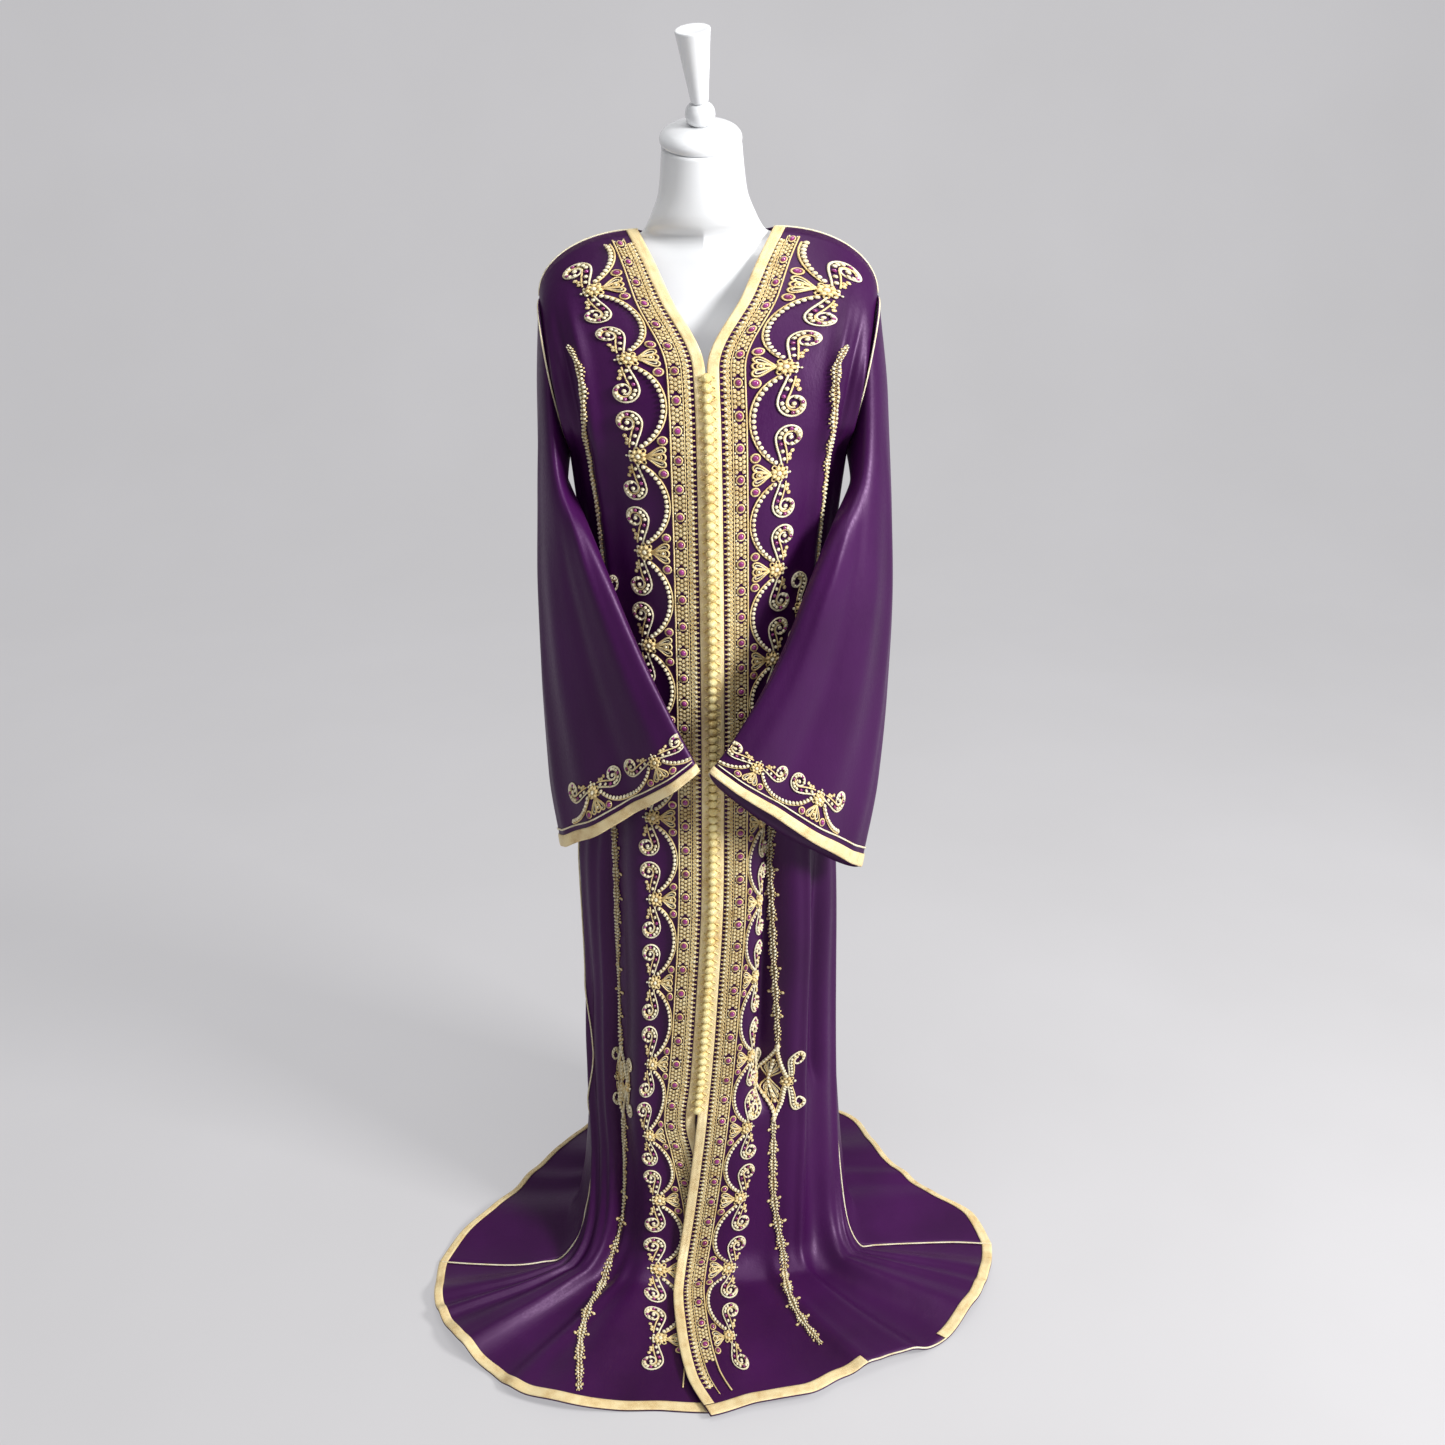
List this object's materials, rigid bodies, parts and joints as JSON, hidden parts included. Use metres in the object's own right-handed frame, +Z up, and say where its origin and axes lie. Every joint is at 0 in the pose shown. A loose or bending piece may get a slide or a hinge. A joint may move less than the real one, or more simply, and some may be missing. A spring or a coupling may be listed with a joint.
{
  "type": "long kaftan on a limbless dress form",
  "caption": "Long front-buttoned satin kaftan with bell sleeves, gold trims and embroidered bands, worn on a white limbless dress form, hem spread on the floor",
  "frame": {"origin": "on the floor under the middle of the stand's base plate", "axes": "+Z up, -Y the front of the kaftan, +X the viewer's right"},
  "size_m": [0.815, 0.6412, 1.6325],
  "materials": {
    "satin": "purple satin crepe with soft folds",
    "trim": "woven gold braid and thread knots",
    "embroidery": "raised cream-gold thread embroidery",
    "form": "smooth white gloss",
    "stand": "satin steel pole and base"
  },
  "bodies": {
    "root": {"closure_knots": "trim", "cuff_band_left": "embroidery", "cuff_band_right": "embroidery", "cuff_trim_left": "trim", "cuff_trim_right": "trim", "embroidered_band_left": "embroidery", "embroidered_band_right": "embroidery", "form_base": "stand", "form_collar": "form", "form_finial": "form", "form_neck_cap": "form", "form_pole": "stand", "form_torso": "form", "front_trim_left": "trim", "front_trim_right": "trim", "hem_trim_back": "trim", "hem_trim_front_left": "trim", "hem_trim_front_right": "trim", "kaftan_back": "satin", "kaftan_front_left": "satin", "kaftan_front_right": "satin", "sleeve_left": "satin", "sleeve_right": "satin"}
  },
  "joints": []
}
